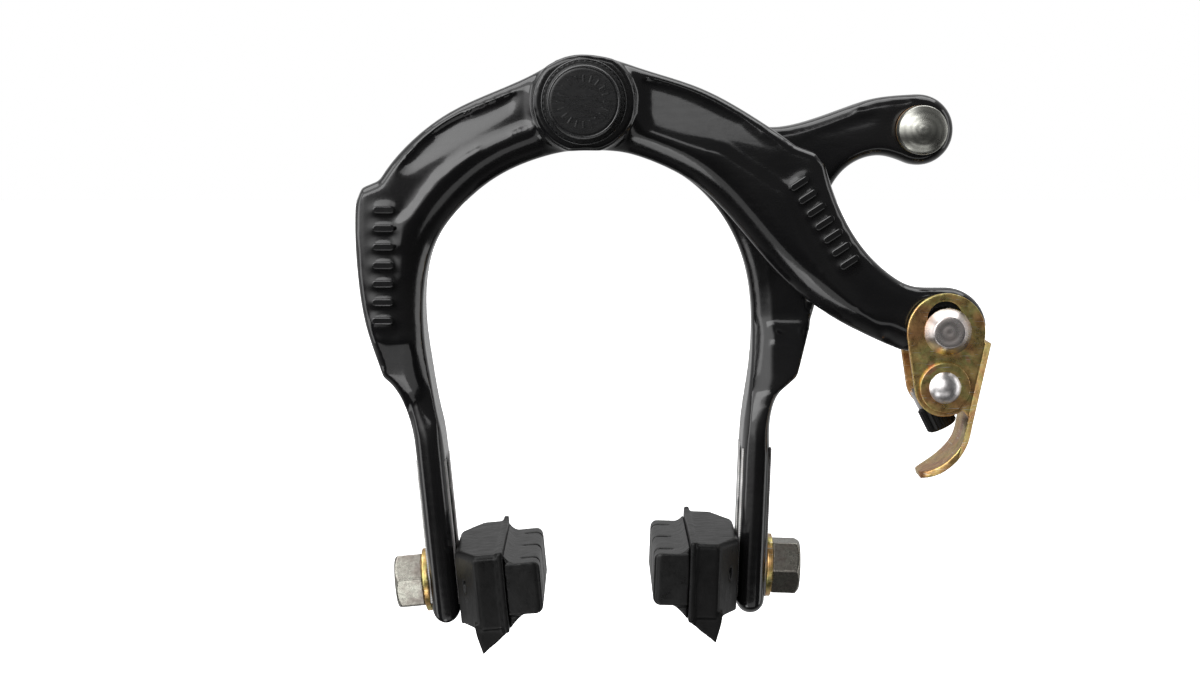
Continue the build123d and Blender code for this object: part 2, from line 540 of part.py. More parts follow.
WEB_TILT = 12.0
WEB_OUT = 7.9
WEB_L = 16.0
web_dir = (-math.sin(math.radians(WEB_TILT)), -math.cos(math.radians(WEB_TILT)))
web_top = (PIN_X + WEB_OUT + 0.1, PIN_Z - 2.2)
web_end = (web_top[0] + web_dir[0] * WEB_L, web_top[1] + web_dir[1] * WEB_L)
plate_shape = make_hull((Pos(PIN_X - 0.3, PIN_Z - 0.2) * Circle(PLATE_TOP_R)).edges()
                        + (Pos(RIVET_X, RIVET_Z) * Circle(PLATE_LOW_R)).edges())
flank_low = (web_end[0] - 0.6 * web_dir[0], web_end[1] - 0.6 * web_dir[1])
flank = Polyline((PIN_X, web_top[1]), web_top, flank_low, (RIVET_X, RIVET_Z), close=True)
plate_shape += make_face(flank)
RIVET_STUB_R = 2.2
y_rear_plate_back = Y_REAR_PLATE_FRONT + PLATE_T
front_plate = slab(plate_shape, Y_PLATE_FRONT + PLATE_T, Y_PLATE_FRONT)
front_plate -= disc(PIN_X, PIN_Z, PIN_R + 0.06, 0, -THROUGH)
CRESCENT_RISE = 2.4
CRESCENT_R = 3.4
front_plate -= disc(RIVET_X, PIN_Z + CRESCENT_RISE, CRESCENT_R, 0, -THROUGH)
rear_plate = slab(plate_shape, y_rear_plate_back, Y_REAR_PLATE_FRONT)

# the web and thumb tab are one strip, folded back from the plates' right edge and curled under the knob
tab_end = (web_end[0] - 9.2, web_end[1] - 10.4)
tab_curl = (web_end[0] - 0.9, web_end[1] - 3.8)
tab_low = (web_end[0] - 3.9, web_end[1] - 7.6)
tab_end_dir = (-1, -0.3)


def beside(point, direction, distance):
    """Point at a distance to the right of a direction of travel."""
    unit = Vector(*direction).normalized()
    return (point[0] + unit.Y * distance, point[1] - unit.X * distance)


half_t = PLATE_T / 2
tab_stops = [(web_end, web_dir), (tab_curl, (-0.42, -1)), (tab_low, (-1, -0.85)), (tab_end, tab_end_dir)]
inner_run = [beside(p, d, half_t) for p, d in tab_stops]
outer_run = [beside(p, d, -half_t) for p, d in tab_stops]
ribbon = make_face([
    Line(beside(web_top, web_dir, -half_t), outer_run[0]),
    Spline(*outer_run, tangents=[web_dir, tab_end_dir]),
    Line(outer_run[-1], inner_run[-1]),
    Spline(*inner_run[::-1], tangents=[(-tab_end_dir[0], -tab_end_dir[1]), (-web_dir[0], -web_dir[1])]),
    Line(inner_run[0], beside(web_top, web_dir, half_t)),
    Line(beside(web_top, web_dir, half_t), beside(web_top, web_dir, -half_t)),
])
lever = slab(ribbon, y_rear_plate_back, Y_PLATE_FRONT)
lever_middle = (y_rear_plate_back + Y_PLATE_FRONT) / 2
lever_width = y_rear_plate_back - Y_PLATE_FRONT
TONGUE_L = 30.0
tongue_x = tab_end[0] - 0.5 + TONGUE_L / 2
tongue = Pos(tongue_x, lever_middle, web_end[1]) * Box(TONGUE_L, lever_width, 2 * TONGUE_L)
tongue = fillet(tongue.edges().filter_by(Axis.Z).sort_by(Axis.X)[:2], lever_width / 2 - 0.5)
qr_lever = front_plate + rear_plate + (lever & tongue)
BEND_CUT = 2.1
web_corner = beside(web_top, web_dir, -half_t)
bend_cutter = Pos(0, 0, -WEB_L) * Rot(0, 0, 45) * Box(BEND_CUT, BEND_CUT, 2 * WEB_L)
qr_lever -= Pos(web_corner[0], Y_PLATE_FRONT, web_corner[1]) * Rot(0, WEB_TILT, 0) * bend_cutter
qr_lever -= disc(RIVET_X, RIVET_Z, RIVET_STUB_R + 0.04, 0, -THROUGH)
export_step(qr_lever, "parts/qr_lever.step")

RIVET_WASHER_R = 4.8
RIVET_WASHER_T = 0.8
y_washer_back = Y_PLATE_FRONT - 0.05
y_washer_front = y_washer_back - RIVET_WASHER_T
rivet_washer = ring(RIVET_X, RIVET_Z, RIVET_WASHER_R, RIVET_STUB_R + 0.04, y_washer_back, y_washer_front)
export_step(rivet_washer, "parts/rivet_washer.step")

# trunnion frame: local -Z runs down the barrel towards the knob, local X points right
trunnion_frame = Pos(RIVET_X, 0, RIVET_Z) * Rot(0, -ADJUST_TILT, 0)
y_trunnion_front = Y_PLATE_FRONT + PLATE_T + 0.15
y_trunnion_back = Y_REAR_PLATE_FRONT - 0.15
TRUNNION_R = 3.1
EYE_WALL = 0.5
EYE_LOW = -3.0
EYE_TOP = 0.6
eye_middle = (EYE_LOW + EYE_TOP) / 2
eye_height = EYE_TOP - EYE_LOW
trunnion = disc(0, 0, TRUNNION_R, y_trunnion_back, y_trunnion_front)
trunnion += Pos(BARREL_OFFSET, BARREL_Y, eye_middle) * Cylinder(BARREL_R + EYE_WALL, eye_height)
trunnion += Pos(BARREL_OFFSET / 2, BARREL_Y, eye_middle) * Box(-BARREL_OFFSET, 4.6, eye_height)
trunnion += disc(0, 0, RIVET_STUB_R, y_rear_plate_back + 0.3, y_washer_front - 0.3)
RIVET_HEAD_R = 3.05
RIVET_RISE = 1.5
rivet_sphere_r = (RIVET_HEAD_R ** 2 + RIVET_RISE ** 2) / (2 * RIVET_RISE)
y_dome = y_washer_front - 0.04
front_dome = Pos(0, y_dome + rivet_sphere_r - RIVET_RISE, 0) * Sphere(rivet_sphere_r)
trunnion += front_dome & disc(0, 0, RIVET_HEAD_R, y_dome, y_dome - RIVET_RISE)
y_back_dome = y_rear_plate_back + 0.06
back_dome = Pos(0, y_back_dome - rivet_sphere_r + RIVET_RISE, 0) * Sphere(rivet_sphere_r)
trunnion += back_dome & disc(0, 0, RIVET_HEAD_R, y_back_dome + RIVET_RISE, y_back_dome)
trunnion -= Pos(BARREL_OFFSET, BARREL_Y, 0) * Cylinder(BARREL_R + 0.05, THROUGH)
trunnion = trunnion_frame * trunnion
export_step(trunnion, "parts/trunnion.step")

KNOB_TOP = -3.3
KNOB_L = 5.0
BARREL_TOP = 1.2
barrel_low = KNOB_TOP - 2.0
barrel_axis = Pos(BARREL_OFFSET, BARREL_Y, 0)
barrel = barrel_axis * Pos(0, 0, (BARREL_TOP + barrel_low) / 2) * Cylinder(BARREL_R, BARREL_TOP - barrel_low)
barrel -= barrel_axis * Cylinder(WIRE_R, THROUGH)
export_step(trunnion_frame * barrel, "parts/adjuster_barrel.step")

RIB_GROOVE_R = 0.24
SOCKET_R = 2.55
SOCKET_DEEP = 2.2
knob_middle = KNOB_TOP - KNOB_L / 2
knob = Pos(0, 0, knob_middle) * Cylinder(KNOB_R, KNOB_L)
knob = chamfer(knob.edges().filter_by(GeomType.CIRCLE), 0.4)
for i in range(KNOB_RIBS):
    groove = Pos(KNOB_R, 0, knob_middle) * Cylinder(RIB_GROOVE_R, KNOB_L + 1)
    knob -= Rot(0, 0, 360 / KNOB_RIBS * i) * groove
knob -= Pos(0, 0, (KNOB_TOP + barrel_low) / 2) * Cylinder(BARREL_R + 0.02, KNOB_TOP - barrel_low + 0.04)
knob -= Cylinder(WIRE_R, THROUGH)
knob -= Pos(0, 0, KNOB_TOP - KNOB_L + SOCKET_DEEP / 2) * Cylinder(SOCKET_R, SOCKET_DEEP + 0.001)
knob = barrel_axis * knob
export_step(trunnion_frame * knob, "parts/adjuster_knob.step")

# ================================================================ brake shoes
SHOE_CHAMFER = 0.7
NUT_TURN = {"left": -14, "right": 1}
DIMPLE_X = 1.9
DIMPLE_Z = 0.6
STUD_INSIDE = 5.1
WASHER_T = 1.1
WASHER_GAP = 0.15
STUD_BEYOND = 6.4
FIN_PROFILE = ((-5.6, -6.0), (-5.3, -8.4), (-4.4, -12.0), (-3.2, -11.0), (-1.5, -9.8), (-0.3, -8.8),
               (1.0, -7.9), (1.0, -6.0))


def shoe_plan(start, shoulder, end):
    """Plan of the holder in X and Y: narrow at the leg, full length at the flange."""
    return make_face(Polyline((start, -SHOE_BACK_HALF), (shoulder, -SHOE_HALF), (end, -SHOE_HALF),
                              (end, SHOE_HALF), (shoulder, SHOE_HALF), (start, SHOE_BACK_HALF), close=True))


def flange_face():
    """Flange seen along X: a rounded rectangle whose top edge rises to a lip at its far end."""
    half_l = SHOE_HALF + 0.4
    lip = FLANGE_TOP + LIP_RISE
    return make_face([
        Line((-half_l, -FLANGE_LOW), (-half_l, FLANGE_TOP)),
        Line((-half_l, FLANGE_TOP), (half_l - LIP_RUN, FLANGE_TOP)),
        Spline((half_l - LIP_RUN, FLANGE_TOP), (half_l, lip), tangents=[(1, 0), (1, 0.2)]),
        Line((half_l, lip), (half_l, -FLANGE_LOW)),
        Line((half_l, -FLANGE_LOW), (-half_l, -FLANGE_LOW)),
    ])


def fin_section(flange_x, y, scale):
    """Cross-section of the keel-like fin under the shoe, at depth y."""
    top = FIN_PROFILE[0][1]
    points = [(flange_x + px, y, top + (pz - top) * scale) for px, pz in FIN_PROFILE]
    return make_face(Polyline(*points, close=True))


def foot(start, drop_from, side_sign, drop, sag):
    """Flare between the friction block and the flange. A sag of a half is straight, and less is hollow."""
    edge = (start, side_sign * (drop_from + drop))
    middle = (start + sag * PAD_FOOT, side_sign * (drop_from + sag * drop))
    end = (start + PAD_FOOT, side_sign * drop_from)
    root = (start, side_sign * (drop_from - 0.5))
    low = (start + PAD_FOOT, side_sign * (drop_from - 0.5))
    curve = [ThreePointArc(edge, middle, end), Line(end, low), Line(low, root), Line(root, edge)]
    length = 2 * SHOE_HALF - 2.4
    return extrude(Plane.XZ.offset(-length / 2) * make_face(curve), amount=length)


def stud_ring(half, outer, inner, near, far):
    """Flat ring on the stud, from near to far outside the leg's outer face."""
    tube = Cylinder(outer, far - near) - Cylinder(inner, far - near + 1)
    return Pos(-half - (near + far) / 2, 0, 0) * Rot(0, 90, 0) * tube


for side, word, leg_t in ((-1, "left", LEG_LEFT_T), (1, "right", LEG_RIGHT_T)):
    half = leg_t / 2
    start = half + HOLDER_START
    plan = shoe_plan(start, half + HOLDER_SHOULDER, half + HOLDER_END)
    holder = extrude(Plane.XY.offset(-HOLDER_H / 2) * plan, amount=HOLDER_H)
    holder = fillet(holder.edges().filter_by(Axis.Z).sort_by(Axis.X)[:4], 1.2)
    holder = chamfer(holder.faces().sort_by(Axis.Z)[-1].edges().sort_by(Axis.X)[:-1], SHOE_CHAMFER)
    flange_x = half + HOLDER_END
    flange = extrude(Plane.YZ.offset(flange_x) * flange_face(), amount=FLANGE_T)
    fin_front = fin_section(flange_x, -SHOE_HALF + 0.3, 1.0)
    fin_back = fin_section(flange_x, SHOE_HALF - 0.3, FIN_FADE)
    holder = holder + flange + loft([fin_front, fin_back], ruled=True)
    holder -= Pos(half, 0, 0) * Rot(0, 90, 0) * Cylinder(STUD_R, 2 * (STUD_INSIDE + 0.1))
    bevel_run = (DIMPLE_X - HOLDER_START) / (HOLDER_SHOULDER - HOLDER_START)
    dimple_y = SHOE_BACK_HALF + bevel_run * (SHOE_HALF - SHOE_BACK_HALF)
    for end in (-1, 1):
        holder -= Pos(half + DIMPLE_X, end * dimple_y, DIMPLE_Z) * Box(0.5, 2.2, 2.6)
    export_step(on_leg(side, holder), "parts/" + word + "_shoe_holder.step")

    block_start = flange_x + FLANGE_T + 0.02
    block_end = half + BLOCK_END
    block_l = block_end - block_start
    block = Pos((block_start + block_end) / 2, 0, 0) * Box(block_l, 2 * SHOE_HALF - 1.2, BLOCK_H)
    block = fillet(block.faces().sort_by(Axis.X)[-1].edges(), 1.3)
    block += foot(block_start, BLOCK_H / 2, -1, FOOT_LOW_DROP, FOOT_LOW_SAG)
    block += foot(block_start, BLOCK_H / 2, 1, FOOT_TOP_DROP, FOOT_TOP_SAG)
    for y in GROOVES:
        block -= Pos(block_end, y, 0) * Box(2 * GROOVE_DEEP, GROOVE_W, BLOCK_H + 1)
        for edge in (-1, 1):
            block -= Pos(block_end - 1.3, y, edge * BLOCK_H / 2) * Box(4.6, GROOVE_W, 2 * GROOVE_DEEP)
    export_step(on_leg(side, block), "parts/" + word + "_pad.step")

    stud_end = -half - STUD_BEYOND
    stud_in = half + STUD_INSIDE
    stud = Pos((stud_end + stud_in) / 2, 0, 0) * Rot(0, 90, 0) * Cylinder(STUD_R - 0.02, stud_in - stud_end)
    stud = chamfer(stud.edges().filter_by(GeomType.CIRCLE), 0.4)
    export_step(on_leg(side, stud), "parts/" + word + "_stud.step")

    washer = stud_ring(half, SHOE_WASHER_R, STUD_R + 0.1, WASHER_GAP, WASHER_GAP + WASHER_T)
    export_step(on_leg(side, washer), "parts/" + word + "_stud_washer.step")

    nut_start = WASHER_GAP + WASHER_T + GAP
    corner = M6_FLATS / 2 / math.cos(math.radians(30))
    hexagon = RegularPolygon(corner, 6) - Circle(STUD_R)
    nut = extrude(Plane.YZ.offset(-half - nut_start) * hexagon, amount=-SHOE_NUT_L)
    rounding = Pos(-half - nut_start - SHOE_NUT_L / 2, 0, 0) * Rot(0, 90, 0) * Cylinder(corner, SHOE_NUT_L)
    nut = nut & chamfer(rounding.edges().sort_by(Axis.X)[0], 0.8, 1.1)
    export_step(on_leg(side, Rot(NUT_TURN[word], 0, 0) * nut), "parts/" + word + "_stud_nut.step")
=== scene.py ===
import json
import math

import bpy
import bmesh
import numpy as np
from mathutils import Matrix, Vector
from mathutils.kdtree import KDTree


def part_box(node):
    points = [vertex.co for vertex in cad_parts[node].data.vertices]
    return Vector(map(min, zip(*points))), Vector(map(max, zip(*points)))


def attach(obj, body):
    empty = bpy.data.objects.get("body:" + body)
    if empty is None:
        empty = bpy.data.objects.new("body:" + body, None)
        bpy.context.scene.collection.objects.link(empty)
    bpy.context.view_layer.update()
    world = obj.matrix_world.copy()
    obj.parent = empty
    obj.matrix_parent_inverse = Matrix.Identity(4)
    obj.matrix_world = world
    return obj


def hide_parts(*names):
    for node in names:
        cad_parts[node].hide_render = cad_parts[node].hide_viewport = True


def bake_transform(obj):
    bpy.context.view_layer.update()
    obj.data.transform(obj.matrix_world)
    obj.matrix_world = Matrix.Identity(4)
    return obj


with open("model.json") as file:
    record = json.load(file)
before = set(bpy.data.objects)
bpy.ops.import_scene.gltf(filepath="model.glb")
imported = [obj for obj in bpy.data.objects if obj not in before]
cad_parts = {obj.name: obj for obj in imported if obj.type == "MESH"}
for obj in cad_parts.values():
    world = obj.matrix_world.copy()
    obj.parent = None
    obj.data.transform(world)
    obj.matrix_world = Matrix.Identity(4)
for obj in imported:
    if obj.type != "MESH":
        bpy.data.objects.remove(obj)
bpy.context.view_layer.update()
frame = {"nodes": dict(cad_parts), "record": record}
MM = 0.001
scene = bpy.context.scene


# ---------------------------------------------------------------- node material helpers
def new_material(name):
    mat = bpy.data.materials.new(name)
    mat.use_nodes = True
    tree = mat.node_tree
    return mat, tree, tree.nodes["Principled BSDF"]


def node(tree, kind, **values):
    made = tree.nodes.new(kind)
    for key, value in values.items():
        if key in made.inputs:
            made.inputs[key].default_value = value
        else:
            setattr(made, key, value)
    return made


def coords(tree, scale=(1, 1, 1), turn=(0, 0, 0), at=(0, 0, 0)):
    """Object coordinates measured from a point, then scaled and turned."""
    place = node(tree, "ShaderNodeTexCoord")
    shift = node(tree, "ShaderNodeVectorMath", operation="SUBTRACT")
    tree.links.new(place.outputs["Object"], shift.inputs[0])
    shift.inputs[1].default_value = at
    mapping = node(tree, "ShaderNodeMapping")
    mapping.inputs["Scale"].default_value = scale
    mapping.inputs["Rotation"].default_value = turn
    tree.links.new(shift.outputs[0], mapping.inputs["Vector"])
    return mapping.outputs["Vector"]


def noise(tree, vector, scale, detail=4.0, rough=0.55, distortion=0.0):
    made = node(tree, "ShaderNodeTexNoise", Scale=scale, Detail=detail, Roughness=rough,
                Distortion=distortion)
    tree.links.new(vector, made.inputs["Vector"])
    return made.outputs["Fac"]


def ramp(tree, factor, stops):
    """Colour ramp; stops are (position, colour or grey level)."""
    made = node(tree, "ShaderNodeValToRGB")
    band = made.color_ramp
    while len(band.elements) < len(stops):
        band.elements.new(0.5)
    for element, (position, value) in zip(band.elements, stops):
        element.position = position
        if isinstance(value, (int, float)):
            value = (value, value, value)
        element.color = (*value, 1.0)
    tree.links.new(factor, made.inputs["Fac"])
    return made.outputs["Color"]


def mix(tree, factor, a, b, kind="MIX"):
    """Mixes two colours, each given as a socket or a value."""
    made = node(tree, "ShaderNodeMix", data_type="RGBA", blend_type=kind)
    inputs = {socket.identifier: socket for socket in made.inputs}
    for key, value in (("Factor_Float", factor), ("A_Color", a), ("B_Color", b)):
        if isinstance(value, bpy.types.NodeSocket):
            tree.links.new(value, inputs[key])
        elif isinstance(value, (int, float)) and key != "Factor_Float":
            inputs[key].default_value = (value, value, value, 1)
        elif isinstance(value, (int, float)):
            inputs[key].default_value = value
        else:
            inputs[key].default_value = (*value, 1)
    return next(s for s in made.outputs if s.identifier == "Result_Color")


def bump(tree, shader, height, strength, distance, under=None):
    made = node(tree, "ShaderNodeBump", Strength=strength, Distance=distance)
    tree.links.new(height, made.inputs["Height"])
    if under is not None:
        tree.links.new(under, made.inputs["Normal"])
    tree.links.new(made.outputs["Normal"], shader.inputs["Normal"])
    return made.outputs["Normal"]


def rings(tree, centre, scale, detail=2.0):
    """Lathe marks round an axis along Y through a centre."""
    made = node(tree, "ShaderNodeTexWave", wave_type="RINGS", rings_direction="Y", Scale=scale,
                Distortion=0.6, Detail=detail)
    tree.links.new(coords(tree, at=centre), made.inputs["Vector"])
    return made.outputs["Fac"]


# ---------------------------------------------------------------- materials
def gloss_paint(name, dark, light, rough, coat):
    mat, tree, shader = new_material(name)
    v = coords(tree)
    shader.inputs["Specular IOR Level"].default_value = 0.5
    shader.inputs["Coat Weight"].default_value = coat
    shader.inputs["Coat Roughness"].default_value = 0.08
    cloud = noise(tree, v, 70.0, 3.0)
    tree.links.new(ramp(tree, cloud, [(0.3, dark), (0.75, light)]), shader.inputs["Base Color"])
    streaks = noise(tree, coords(tree, (1, 1, 5), (0, 0.4, 0)), 240.0, 5.0, 0.7)
    tree.links.new(ramp(tree, streaks, [(0.35, rough), (0.72, rough + 0.09)]), shader.inputs["Roughness"])
    first = bump(tree, shader, noise(tree, v, 1100.0, 2.0), 0.12, 0.00008)
    bump(tree, shader, noise(tree, v, 130.0, 3.0, 0.5), 0.10, 0.0004, first)
    return mat


def bare_alloy():
    mat, tree, shader = new_material("bare_alloy")
    v = coords(tree)
    shader.inputs["Metallic"].default_value = 1.0
    patches = noise(tree, v, 300.0, 5.0, 0.7)
    tree.links.new(ramp(tree, patches, [(0.3, (0.36, 0.35, 0.34)), (0.75, (0.78, 0.77, 0.76))]),
                   shader.inputs["Base Color"])
    tree.links.new(ramp(tree, patches, [(0.3, 0.45), (0.8, 0.28)]), shader.inputs["Roughness"])
    bump(tree, shader, noise(tree, v, 1500.0, 3.0), 0.2, 0.0001)
    return mat


def rubber(name, tone, rough, sheen):
    mat, tree, shader = new_material(name)
    shader.inputs["Specular IOR Level"].default_value = sheen
    v = coords(tree)
    mottled = noise(tree, v, 160.0, 6.0, 0.7)
    low = (tone * 0.55, tone * 0.55, tone * 0.55)
    high = (tone * 1.4, tone * 1.38, tone * 1.38)
    tree.links.new(ramp(tree, mottled, [(0.3, low), (0.72, high)]), shader.inputs["Base Color"])
    scuff = noise(tree, coords(tree, (1, 4, 1)), 380.0, 6.0, 0.7)
    tree.links.new(ramp(tree, scuff, [(0.35, rough), (0.72, rough + 0.2)]), shader.inputs["Roughness"])
    first = bump(tree, shader, noise(tree, v, 2400.0, 3.0), 0.22, 0.00012)
    bump(tree, shader, mottled, 0.15, 0.0003, first)
    return mat


# colours that drift across yellow-passivated zinc, as (position, colour)
ZINC_TINTS = ((0.28, (0.58, 0.28, 0.15)), (0.40, (0.76, 0.44, 0.19)), (0.50, (0.80, 0.56, 0.22)),
              (0.60, (0.64, 0.58, 0.22)), (0.70, (0.74, 0.42, 0.21)), (0.82, (0.55, 0.27, 0.21)))
ZINC_SCRATCH = (0.88, 0.80, 0.66)


def yellow_zinc():
    mat, tree, shader = new_material("yellow_zinc")
    v = coords(tree)
    shader.inputs["Metallic"].default_value = 1.0
    wide = noise(tree, v, 95.0, 3.0, 0.6, 1.6)
    tint = ramp(tree, wide, ZINC_TINTS)
    fine = noise(tree, v, 800.0, 5.0, 0.75)
    speck = ramp(tree, fine, [(0.38, (0.62, 0.58, 0.52)), (0.58, (1.0, 1.0, 1.0))])
    scored = noise(tree, coords(tree, (1, 1, 22), (0.3, 0.9, 0.5)), 260.0, 2.0, 0.5)
    scratch = ramp(tree, scored, [(0.665, 0.0), (0.685, 1.0)])
    tinted = mix(tree, 0.85, tint, speck, "MULTIPLY")
    tree.links.new(mix(tree, scratch, tinted, ZINC_SCRATCH), shader.inputs["Base Color"])
    haze = noise(tree, v, 420.0, 4.0, 0.7)
    tree.links.new(ramp(tree, haze, [(0.35, 0.26), (0.7, 0.42)]), shader.inputs["Roughness"])
    bump(tree, shader, fine, 0.18, 0.0001)
    return mat


def steel(name, low, high, rough, grain=(20, 1, 1), speck=0.0):
    mat, tree, shader = new_material(name)
    v = coords(tree)
    shader.inputs["Metallic"].default_value = 1.0
    haze = noise(tree, v, 240.0, 6.0, 0.72)
    tone = ramp(tree, haze, [(0.32, low), (0.66, high)])
    if speck:
        dots = noise(tree, v, 1900.0, 2.0)
        tone = mix(tree, speck, tone, ramp(tree, dots, [(0.35, 0.25), (0.6, 1.0)]), "MULTIPLY")
    tree.links.new(tone, shader.inputs["Base Color"])
    tree.links.new(ramp(tree, haze, [(0.3, rough + 0.12), (0.7, rough)]), shader.inputs["Roughness"])
    bump(tree, shader, noise(tree, coords(tree, grain), 400.0, 3.0), 0.10, 0.00008)
    return mat


def turned(name, low, high, rough, centre, scale, depth):
    """Steel with lathe marks round an axis."""
    mat, tree, shader = new_material(name)
    shader.inputs["Metallic"].default_value = 1.0
    lathe = rings(tree, centre, scale)
    haze = noise(tree, coords(tree), 300.0, 5.0, 0.7)
    tint = ramp(tree, haze, [(0.3, low), (0.7, high)])
    marks = ramp(tree, lathe, [(0.1, 0.55), (0.6, 1.0)])
    tone = mix(tree, 0.45, tint, marks, "MULTIPLY")
    tree.links.new(tone, shader.inputs["Base Color"])
    tree.links.new(ramp(tree, haze, [(0.3, rough + 0.1), (0.7, rough)]), shader.inputs["Roughness"])
    shader.inputs["Anisotropic"].default_value = 0.5
    bump(tree, shader, lathe, depth, 0.00006)
    return mat


def nylon():
    mat, tree, shader = new_material("nylon")
    cloud = noise(tree, coords(tree), 300.0, 4.0)
    tree.links.new(ramp(tree, cloud, [(0.3, (0.46, 0.45, 0.40)), (0.7, (0.62, 0.61, 0.56))]),
                   shader.inputs["Base Color"])
    tree.links.new(ramp(tree, cloud, [(0.3, 0.5), (0.7, 0.35)]), shader.inputs["Roughness"])
    bump(tree, shader, cloud, 0.1, 0.0001)
    return mat


def box_centre(name):
    low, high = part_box(name)
    return tuple((a + b) / 2 for a, b in zip(low, high))


PAINT = gloss_paint("black_enamel", (0.0045, 0.0045, 0.005), (0.0085, 0.0082, 0.0085), 0.11, 0.35)
CAP = gloss_paint("cap_plastic", (0.005, 0.005, 0.0055), (0.009, 0.009, 0.0095), 0.24, 0.0)
# finish of the thin cap rims: glossier than the cap plastic, and its base colour, twice as light as the cap's,
# is a painted highlight
CAP_RIM_GLOSS_AND_PAINTED_HIGHLIGHT = gloss_paint("cap_rim_gloss_and_painted_highlight", (0.010, 0.010, 0.011), (0.018, 0.018, 0.019), 0.14, 0.8)
BARE = bare_alloy()
HOLDER = rubber("holder_rubber", 0.0045, 0.27, 0.24)
PAD = rubber("pad_rubber", 0.004, 0.27, 0.40)
GOLD = yellow_zinc()
PLATED = steel("plated_steel", (0.24, 0.20, 0.18), (0.46, 0.46, 0.40), 0.22, (20, 1, 1), 0.35)
WIRE = steel("spring_wire", (0.22, 0.22, 0.23), (0.42, 0.42, 0.43), 0.3)
BRONZE = steel("bronze", (0.36, 0.24, 0.12), (0.58, 0.40, 0.22), 0.3)
PIN = turned("turned_pin", (0.80, 0.70, 0.66), (0.95, 0.91, 0.89), 0.24,
             box_centre("qr_pin"), 210.0, 0.35)
ANCHOR = turned("turned_anchor", (0.34, 0.34, 0.31), (0.56, 0.56, 0.51), 0.24,
                box_centre("anchor_washer"), 260.0, 0.2)
TURNED = steel("turned_steel", (0.86, 0.82, 0.82), (0.97, 0.95, 0.95), 0.28, (1, 1, 14), 0.3)
NYLON = nylon()

FINISH = {
    "black_paint": PAINT, "holder_rubber": HOLDER, "pad_rubber": PAD, "cap_plastic": CAP,
    "knob_plastic": HOLDER, "gold_zinc": GOLD, "bronze": BRONZE, "nylon": NYLON, "block_alloy": PAINT,
    "turned_steel": TURNED, "spring_wire": WIRE, "plated_steel": PLATED,
}
slots = {row["node"]: row["material_slot"] for row in frame["record"]["subparts"]}
node_finish = {name: FINISH[slots[name]] for name in frame["nodes"]}
node_finish["qr_pin"] = PIN
node_finish["cable_anchor_bolt"] = ANCHOR
for name, obj in frame["nodes"].items():
    obj.data.materials.clear()
    obj.data.materials.append(node_finish[name])
body_of = {name: body for body, names in frame["record"]["behaviour"]["bodies"].items() for name in names}


# ---------------------------------------------------------------- softened copies of forged and moulded parts
def add_object(name, mesh, material, body):
    """New visual piece that rides on a body."""
    obj = bpy.data.objects.new(name, mesh)
    scene.collection.objects.link(obj)
    mesh.materials.clear()
    mesh.materials.append(material)
    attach(obj, body)
    return obj


def remesh(obj, voxel, passes):
    grid = obj.modifiers.new("grid", "REMESH")
    grid.mode = "VOXEL"
    grid.voxel_size = voxel
    grid.use_smooth_shade = True
    if passes:
        relax = obj.modifiers.new("relax", "SMOOTH")
        relax.factor = 0.5
        relax.iterations = passes


def baked(source_mesh, voxel, passes):
    """Mesh of a remeshed and smoothed copy of another mesh."""
    scratch = bpy.data.objects.new("scratch", source_mesh.copy())
    scene.collection.objects.link(scratch)
    remesh(scratch, voxel, passes)
    graph = bpy.context.evaluated_depsgraph_get()
    result = bpy.data.meshes.new_from_object(scratch.evaluated_get(graph))
    bpy.data.objects.remove(scratch)
    return result


def soften(name, voxel, passes):
    """Copy of a CAD node with softly rounded edges, which stands for that node."""
    copy = add_object(name + "_soft", frame["nodes"][name].data.copy(), node_finish[name], body_of[name])
    remesh(copy, voxel, passes)
    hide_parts(name)


# ---------------------------------------------------------------- forged arms, in mm and degrees
ARM_VOXEL = 0.40 * MM
LEG_FRONT_Y = -27.0
LEG_TOP_Z = -72.0
ROUND_STARTS_Z = -52.0
ROUND_FULL_Z = -66.0
SAMPLE_STEP = 0.4
# how squarely a face looks forward: sloping panels lie between these
PANEL_FACING = (0.9, 0.998)
# distances from a panel's border over which smoothing fades in
CREASE_FADE = (0.7, 2.0)
# distances from a side wall over which smoothing fades in
WALL_FADE = (0.8, 2.2)
# forward facing over which smoothing fades in
FACING_FADE = (0.3, 0.7)
# height above the flat face over which smoothing fades out, on raised details
RAISED_FADE = (0.05, 0.2)
# depth below the pivot over which smoothing fades out, towards the leg
LEG_FADE = (60.0, 66.0)
# what counts as a side wall: most it may face front or back, set-back from the front, deepest y, least depth
WALL_FACING = 0.3
WALL_SET_BACK = 0.9
WALL_DEEPEST_Y = -11.0
WALL_LEAST_DEPTH = 1.2
SAME_DEPTH = 0.1
INNER_DEEP = 3.4
INNER_WIDE = 6.0
CROWN_DEEP = 0.9
CROWN_WIDE = 8.0
RIM_DEEP = 1.1
RIM_WIDE = 1.3
RIM_ON_CROWN = 0.8
BOSS_R = 9.9
ARCH_CENTRE = (0.0, -43.0)
# side, leg middle x at the top, leg tilt, leg half thickness
LEGS = {
    "front_arm": (-1, -29.6, 5.5, 2.8),
    "rear_arm": (1, 33.4, 2.0, 2.8),
}
# front face y, heights between which the face moves to the leg's, reach of the wide inner bevel, bores
ARMS = {
    "front_arm": (-30.0, (-46.0, -58.0), 90.0, ((0.0, 0.0, 4.0), (69.4, -43.6, 3.4))),
    "rear_arm": (-20.4, (-43.0, -56.0), 40.0, ((0.0, 0.0, 4.0), (65.1, -5.4, 3.3))),
}
FORK_X = -14.0
RELAX_STEP = 0.5


def read_points(mesh):
    flat = np.empty(len(mesh.vertices) * 3)
    mesh.vertices.foreach_get("co", flat)
    return flat.reshape(-1, 3) / MM


def write_points(mesh, points):
    mesh.vertices.foreach_set("co", (points * MM).reshape(-1))
    mesh.update()


def smooth_step(value, low, high):
    t = np.clip((value - low) / (high - low), 0.0, 1.0)
    return t * t * (3 - 2 * t)


